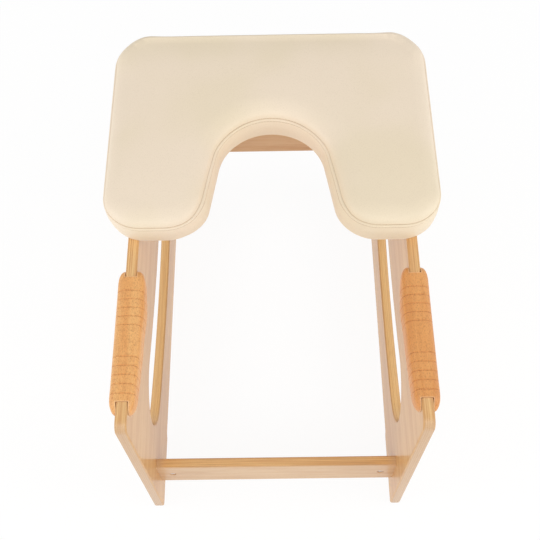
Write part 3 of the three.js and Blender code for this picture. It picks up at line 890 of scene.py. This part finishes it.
def cushion_profile():
    """
    Inset and height from the base up to the crown, as a dense line. The wall bows out to its
    widest ring and back to the seam by parabolas; the crown is a quarter of a full ellipse, with
    the squares replaced by the crown's fullness.
    """
    height = np.linspace(pocket_fit, wall_height, profile_steps)
    low_part = undercut * (1 - height / widest_at) ** 2
    high_part = seam_inset * ((height - widest_at) / (wall_height - widest_at)) ** 2
    wall = np.stack([np.where(height < widest_at, low_part, high_part), height], 1)
    share = 1 - np.cos(np.radians(np.linspace(0, 90, profile_steps)))[1:]
    rise = (1 - (1 - share) ** crown_fullness) ** (1 / crown_fullness)
    crown = np.stack([
        seam_inset + crown_reach * share,
        wall_height + (cushion_thickness - wall_height) * rise,
    ], 1)
    return np.concatenate([wall, crown])


def profile_rows():
    """The profile at chosen lengths from the seam, closer together near the two sewn lines."""
    line = cushion_profile()
    length = distance_along(line)
    at_seam = np.interp(wall_height, line[:profile_steps, 1], length[:profile_steps])
    below = np.array([-26, -21, -17, -14, -11, -8.8, -7.4, -6.4, -5.8])
    fine = np.arange(-5.4, 2.01, 0.2)
    above = np.array([2.6, 3.2, 4, 5, 6.5, 8.5, 11, 14, 17.5, 21.5, 26, 31])
    from_seam = np.concatenate([[-at_seam, 1.2 - at_seam, 4 - at_seam], below, fine, above])
    return from_seam, at_distance(at_seam + from_seam, length, line)


def seam_relief(from_seam):
    """
    How far the cover stands out at a length above the seam: a groove at the seam, a rolled
    allowance below it, and a lighter groove under the second line of stitches.
    """
    seam = bell(from_seam, 0, -seam_groove, seam_groove_reach)
    allowance = bell(from_seam, allowance_at, allowance_rise, allowance_reach, power=4)
    return seam + allowance + bell(from_seam, second_seam, -second_groove, second_groove_reach)


def seam_lean(places):
    """
    How much further the seam is drawn in than at the sides of the cushion: a constant along the
    front and round the gap, fading towards the outer corners and the rear edge, and a bell curve
    more where the gap's walls run straight.
    """
    corner_margin, corner_fade = 6, 45
    rear_margin, rear_fade = 60, 80
    gap_reach = 17
    x, y = np.abs(places[:, 0]), places[:, 1]
    ahead_of_corner = np.clip((half_cushion - corner_margin - x) / corner_fade, 0, 1)
    ahead_of_rear = np.clip((cushion_rear - rear_margin - y) / rear_fade, 0, 1)
    beside_gap = bell(x, gap_width / 2, seam_lean_gap, gap_reach)
    return (seam_lean_front * ahead_of_corner + beside_gap) * ahead_of_rear


def base_lean(places, normals):
    """
    How far the base is pulled in under the left lobe: fully where its wall faces forwards, and
    fading out where it turns to the side and towards the gap.
    """
    facing_front = np.clip((-normals[:, 1] - 0.15) / 0.5, 0, 1)
    pull_fade = 30
    beside_gap = np.clip((-places[:, 0] - gap_width / 2) / pull_fade, 0, 1)
    return left_pull * facing_front * beside_gap


def ring(places, normals, inset, height):
    """
    The outline at a height above the panels, drawn in by an inset, by the seam's lean as the
    square of the way from the widest ring up to the seam, and by the base's lean, which fades
    evenly up to the seam. Towards the rear edge, the rings at and above the seam rise, and the
    crown is tighter.
    """
    share = min(max((height - widest_at) / (wall_height - widest_at), 0), 1) ** 2
    below = max(1 - height / wall_height, 0)
    near_rear = np.clip((places[:, 1] - cushion_rear + rear_reach) / rear_reach, 0, 1)
    near_rear = near_rear ** 2 * (3 - 2 * near_rear)
    crown = max(inset - seam_inset, 0) if height > wall_height else 0
    inset = inset + seam_lean(places) * share + base_lean(places, normals) * below
    inset = inset - crown * rear_tightness * near_rear
    flat = places - normals * inset[:, None]
    return np.column_stack([flat, seat_height + height + rear_rise * near_rear * share])


lattice_side = 210
lattice_front, lattice_rear = -50, 300
lattice_spacing = 7.0
lattice_clearance = 0.6


def closed_cushion(places, normals, under, profile):
    """
    A closed cushion as points and faces: rings at the (inset, height) pairs of under and profile,
    one above the other, with the first ring filled below and the last filled above, around a
    square lattice of points at its height. Points too close to the ring are left out.
    """
    around = len(places)
    rows = [ring(places, normals, inset, height) for inset, height in [*under, *profile]]
    crown_loop = rows[-1][:, :2]
    columns = np.arange(-lattice_side, lattice_side + 1, lattice_spacing)
    lines = np.arange(lattice_front, lattice_rear + 1, lattice_spacing)
    lattice = np.stack(np.meshgrid(columns, lines), -1).reshape(-1, 2)
    lattice = lattice[inside(lattice, crown_loop)]
    clearance = np.linalg.norm(lattice[:, None] - crown_loop[None], axis=2).min(1)
    lattice = lattice[clearance > lattice_spacing * lattice_clearance]
    middle = np.column_stack([lattice, np.full(len(lattice), rows[-1][0, 2])])
    last = (len(rows) - 1) * around
    inner_numbers = len(rows) * around + np.arange(len(lattice))
    number = np.concatenate([last + np.arange(around), inner_numbers])
    faces = skin(len(rows), around).tolist()
    faces += number[filled(crown_loop, [], lattice)].tolist()
    faces += filled(rows[0][:, :2], [])[:, ::-1].tolist()
    return np.concatenate([*rows, middle]), faces


def coordinates_of(mesh):
    """A mesh's points, in millimetres."""
    flat = np.empty(len(mesh.vertices) * 3)
    mesh.vertices.foreach_get("co", flat)
    return flat.reshape(-1, 3) * 1000


def held_at_base_and_seam(places):
    """How firmly places are held: fully near the base, less near the seam, and 0 elsewhere."""
    base_band, seam_band, seam_hold = 5, 3, 0.75
    height = places[:, 2] - seat_height
    near_seam = np.abs(height - wall_height) < seam_band
    return np.where(height < base_band, 1.0, np.where(near_seam, seam_hold, 0.0))


voxel = 5
pressure = 4
cloth_frames = 20
swell_limit = 4.0


def blown_up(points, faces):
    """
    A closed form in millimetres filled like a cushion: it is remeshed, held at its base and seam,
    and blown up as cloth. No point moves further than the swell limit: a move becomes the limit
    times the hyperbolic tangent of its share of the limit.
    """
    form = bare_form("form", points, faces)
    remesh = form.modifiers.new("remesh", "REMESH")
    remesh.mode = "VOXEL"
    remesh.voxel_size = voxel / 1000
    remesh.use_smooth_shade = True
    form.data = applied(form)

    before = coordinates_of(form.data)
    weights = held_at_base_and_seam(before)
    group = form.vertex_groups.new(name="held")
    for level in np.unique(weights[weights > 0]):
        group.add(np.flatnonzero(weights == level).tolist(), float(level), "REPLACE")
    cloth = form.modifiers.new("cloth", "CLOTH")
    cloth.settings.use_pressure = True
    cloth.settings.uniform_pressure_force = pressure
    cloth.settings.effector_weights.gravity = 0
    cloth.settings.vertex_group_mass = "held"
    cloth.point_cache.frame_start = 1
    cloth.point_cache.frame_end = cloth_frames
    for frame_number in range(1, cloth_frames + 1):
        bpy.context.scene.frame_set(frame_number)
    filled_mesh = applied(form)
    bpy.context.scene.frame_set(1)
    move = coordinates_of(filled_mesh) - before
    length = np.linalg.norm(move, axis=1, keepdims=True) + 1e-9
    move *= swell_limit * np.tanh(length / swell_limit) / length
    filled_mesh.vertices.foreach_set("co", ((before + move) / 1000).ravel())
    form.data = filled_mesh
    smooth = form.modifiers.new("smooth", "SUBSURF")
    smooth.levels = smooth.render_levels = 1
    return form


def wrapped(points, faces, form, rounds=30):
    """
    Points in millimetres laid on a form: each goes to the nearest place on it, and the moves are
    then evened out by averaging them along the edges, so that nothing of the remeshing shows.
    """
    wrap = bare_form("wrap", points, faces)
    onto = wrap.modifiers.new("onto", "SHRINKWRAP")
    onto.target = form
    onto.wrap_method = "TARGET_PROJECT"
    move = coordinates_of(applied(wrap)) - points
    edges = np.empty(len(wrap.data.edges) * 2, int)
    wrap.data.edges.foreach_get("vertices", edges)
    start, end = edges.reshape(-1, 2).T
    share = np.bincount(edges, minlength=len(points))[:, None]
    for _ in range(rounds):
        total = np.zeros_like(move)
        np.add.at(total, start, move[end])
        np.add.at(total, end, move[start])
        move = 0.5 * move + 0.5 * total / share
    bpy.data.objects.remove(wrap)
    return points + move


outline, outward = cushion_outline()
from_seam, profile = profile_rows()
pocket = board_inset - pocket_fit
under = [(pocket, board_thickness + pocket_fit), (pocket, pocket_fit)]
points, faces = closed_cushion(outline, outward, under, profile)

# What is blown up starts a little smaller and flatter than the cover, so that it ends near it.
start_smaller = 0.4
start_flatter = 0.15
lower = start_flatter * np.clip(profile[:, 1] - wall_height, 0, None)
slack = profile + np.stack([np.full(len(profile), start_smaller), -lower], 1)
form = blown_up(*closed_cushion(outline, outward, [], slack))
above_pocket = (len(under) + 1) * len(outline)
laid = wrapped(points, faces, form)
points[above_pocket:] = laid[above_pocket:]
bpy.data.objects.remove(form)

tangent = unit(np.gradient(profile, axis=0))
relief = seam_relief(from_seam)
first_row, last_row = len(under) * len(outline), (len(under) + len(profile)) * len(outline)
seam_rows = points[first_row:last_row].reshape(len(profile), len(outline), 3)
seam_rows[..., :2] += outward[None] * (tangent[:, 1] * relief)[:, None, None]
seam_rows[..., 2] += (tangent[:, 0] * relief)[:, None]

cover_tones = (colour(246, 229, 206), colour(241, 225, 197))
pebble_shade = colour(205, 186, 158)
painted_seam_shade = colour(176, 146, 110)


def cream_leatherette():
    """
    Cream leatherette: fine pebbled grain, a soft sheen, and a tone that drifts a little. Painted
    shade darkens the two sewn grooves, by the length that each point keeps from the seam.
    """
    finish = Finish("cream_leatherette")
    place = finish.place()
    drift = finish.noise(place, (0.006, 0.006, 0.006), 2.0)
    pebbles = finish.node("TexVoronoi", {"feature": "SMOOTH_F1"}, {
        "Vector": finish.stretched(place, (0.9, 0.9, 0.9)),
        "Scale": 1.0,
        "Smoothness": 0.6,
    })
    tone = finish.mix(finish.ramp(drift, 0.35, 0.65), *cover_tones)
    tone = finish.mix(finish.ramp(pebbles, 0.45, 0.8) * 0.12, tone, pebble_shade)
    length = finish.node("Attribute", {"attribute_name": "from_seam"}, {}, output="Fac")
    # Painted shade in the two sewn grooves.
    for sewn in (0.0, second_seam):
        groove = 1.0 - finish.ramp(abs(length - sewn), 0.2, 0.9)
        tone = finish.mix(groove * 0.42, tone, painted_seam_shade)
    return finish.shade({
        "Base Color": tone,
        "Roughness": 0.44 + pebbles * 0.08,
        "Normal": finish.bump(1.0 - pebbles, 0.00012, 0.35),
    })


cushion = new_piece("cushion_cover", points, faces, cream_leatherette(), "cream_leather")
lengths = np.full(len(points), from_seam[-1])
lengths[:first_row] = from_seam[0]
lengths[first_row:last_row] = np.repeat(from_seam, len(outline))
cushion.data.attributes.new("from_seam", "FLOAT", "POINT").data.foreach_set("value", lengths)
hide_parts("cushion")

# ------------------------------------------------------------------ stitching
# Two lines of polyester thread run round the cover, one in the seam and one that holds the
# allowance down on the wall.

stitch_pitch = 4.2
stitch_length = 3.0
stitch_arch = 1.7
stitch_taper = 0.93
thread_radius = 0.34
thread_sunk = 0.12
stitch_stations, thread_sides = 7, 6
thread_tones = (colour(206, 182, 148), colour(178, 152, 118))


def stitches(row):
    """
    Stitches along a closed row of points: short tubes along the row. Each is a circle carried
    along a line that rises from the cover and dips back, as 1 minus the fourth power of the
    distance from its middle, and thins towards its ends.
    """
    loop = seam_rows[row]
    across = seam_rows[row + 1] - seam_rows[row - 1]
    distance = distance_along(closed(loop))
    count = int(distance[-1] / stitch_pitch)
    middle = distance[-1] * np.arange(count) / count
    station = np.linspace(-1, 1, stitch_stations)
    along = (middle[:, None] + station * stitch_length / 2) % distance[-1]
    line, side = (at_distance(along, distance, closed(each)) for each in (loop, across))
    ahead_of = unit(np.gradient(line, axis=1))
    out = unit(np.cross(ahead_of, side))
    side = np.cross(out, ahead_of)
    lift = thread_radius * (stitch_arch * (1 - station ** 4) - 1) - thread_sunk
    line = line + out * lift[None, :, None]
    angle = np.linspace(0, 2 * np.pi, thread_sides, endpoint=False)[:, None]
    thick = thread_radius * np.sqrt(1 - (stitch_taper * station) ** 4)
    circle = np.cos(angle) * side[:, :, None] + np.sin(angle) * out[:, :, None]
    tube = line[:, :, None] + circle * thick[None, :, None, None]
    first = (np.arange(count) * stitch_stations * thread_sides)[:, None, None]
    walls = (first + skin(stitch_stations, thread_sides)).reshape(-1, 4).tolist()
    end = np.arange(thread_sides)
    far_end = (stitch_stations - 1) * thread_sides + end
    caps = np.concatenate([first[:, 0] + end[::-1], first[:, 0] + far_end])
    return tube.reshape(-1, 3), walls + caps.tolist()


def sewing_thread():
    """Bonded thread a shade darker than the cover, with the twist of its plies along it."""
    finish = Finish("sewing_thread")
    twist = finish.noise(finish.place(), (4.0, 4.0, 4.0), 1.0)
    return finish.shade({
        "Base Color": finish.mix(twist, *thread_tones),
        "Roughness": 0.5 + twist * 0.2,
    })


thread = sewing_thread()
for name, length in (("seam_stitches", 0.0), ("allowance_stitches", second_seam)):
    row = int(np.abs(from_seam - length).argmin())
    new_piece(name, *stitches(row), thread, "cream_leather")

# ------------------------------------------------------------------ light, floor and backdrop
# A white studio: soft square lamps behind the camera and on both sides, an even white surround,
# and white paper on the floor.

lamp_aim = Vector((0, 0, 0.3))
lamp_size = 1.6


def lamp(name, place, power):
    """A soft square lamp at a place in metres, turned to face the bench, of a power in watts."""
    light = bpy.data.lights.new(name, "AREA")
    light.shape = "SQUARE"
    light.size = lamp_size
    light.energy = power
    made = bpy.data.objects.new(name, light)
    made.location = place
    made.rotation_mode = "QUATERNION"
    made.rotation_quaternion = (lamp_aim - Vector(place)).to_track_quat("-Z", "Y")
    bpy.context.collection.objects.link(made)


lamp("front", (0, -1.7, 2.3), 14.5)
lamp("left", (-2.4, -0.6, 1.5), 20)
lamp("right", (2.4, -0.6, 1.5), 23)


def seen(finish):
    """1 for rays from the camera, a mirror or glass, and 0 for light that only bounces."""
    camera_ray, glossy_ray, transmission_ray = (
        finish.node("LightPath", {}, {}, output=f"Is {kind} Ray")
        for kind in ("Camera", "Glossy", "Transmission"))
    through = finish.maths("MAXIMUM", glossy_ray, transmission_ray)
    return finish.maths("MAXIMUM", camera_ray, through)


world_light = 0.54
surround = Finish("surround", "worlds", "Background")
bpy.context.scene.world = surround.material
brightness = world_light + seen(surround) * (1 - world_light)
surround.shade({"Color": (1, 1, 1, 1), "Strength": brightness})

reach = 6000
corners = [(-reach, -reach, 0), (reach, -reach, 0), (reach, reach, 0), (-reach, reach, 0)]
floor = bare_form("floor", corners, [(0, 1, 2, 3)])
paper = Finish("floor_paper")


def lit_paper(glow, grey):
    """White paper that glows by itself and takes the rest of its light from the lamps."""
    shining = paper.node("Emission", {}, {"Color": (1, 1, 1, 1), "Strength": glow})
    matt = paper.node("BsdfDiffuse", {}, {"Color": (grey, grey, grey, 1)})
    return paper.node("AddShader", {}, {0: shining, 1: matt})


bounced = lit_paper(0.36, 0.8)
looked_at = lit_paper(0.92, 0.09)
mixed = paper.node("MixShader", {}, {0: seen(paper), 1: bounced, 2: looked_at})
paper.tree.links.new(mixed.socket, paper.tree.nodes["Material Output"].inputs["Surface"])
floor.data.materials.append(paper.material)
